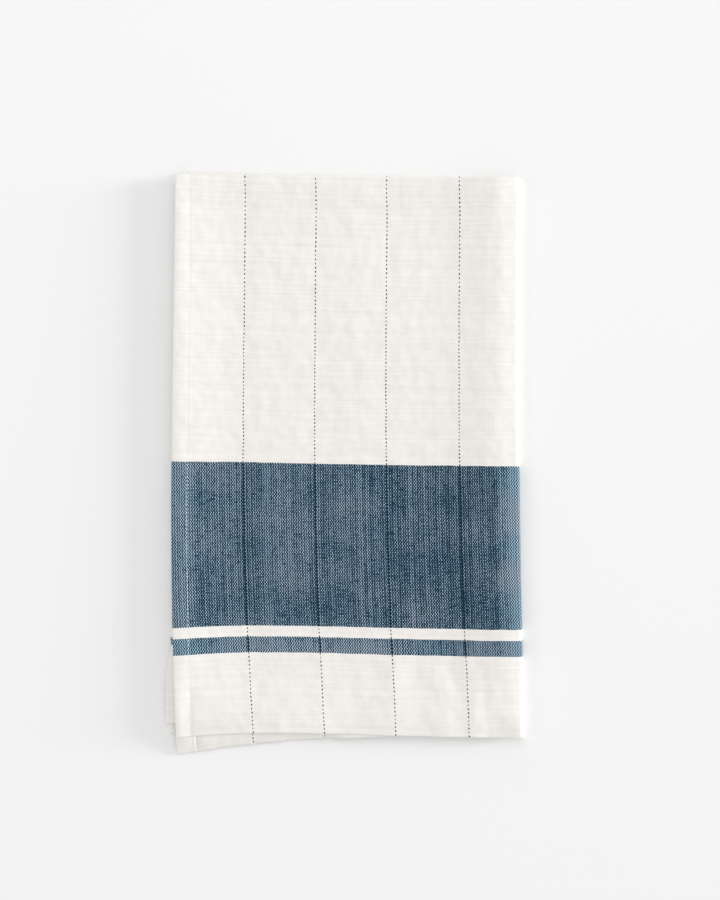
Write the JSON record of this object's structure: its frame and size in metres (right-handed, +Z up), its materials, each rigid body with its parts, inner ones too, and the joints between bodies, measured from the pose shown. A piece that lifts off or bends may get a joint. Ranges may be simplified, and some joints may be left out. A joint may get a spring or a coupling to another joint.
{
  "type": "tea towel",
  "caption": "Hand-woven cotton tea towel with navy bands and dotted stripes, hemmed all round, folded in four and lying flat.",
  "frame": {"origin": "under the middle of the folded towel, on the surface that it lies on", "axes": "+Z up, +Y towards the crosswise fold at the far end, +X towards the lengthwise fold"},
  "size_m": [0.2502, 0.4109, 0.0099],
  "materials": {
    "cotton": "matte plain-woven natural white cotton with navy bands and dotted stripes"
  },
  "bodies": {
    "root": {"tea_towel": "cotton"}
  },
  "joints": []
}
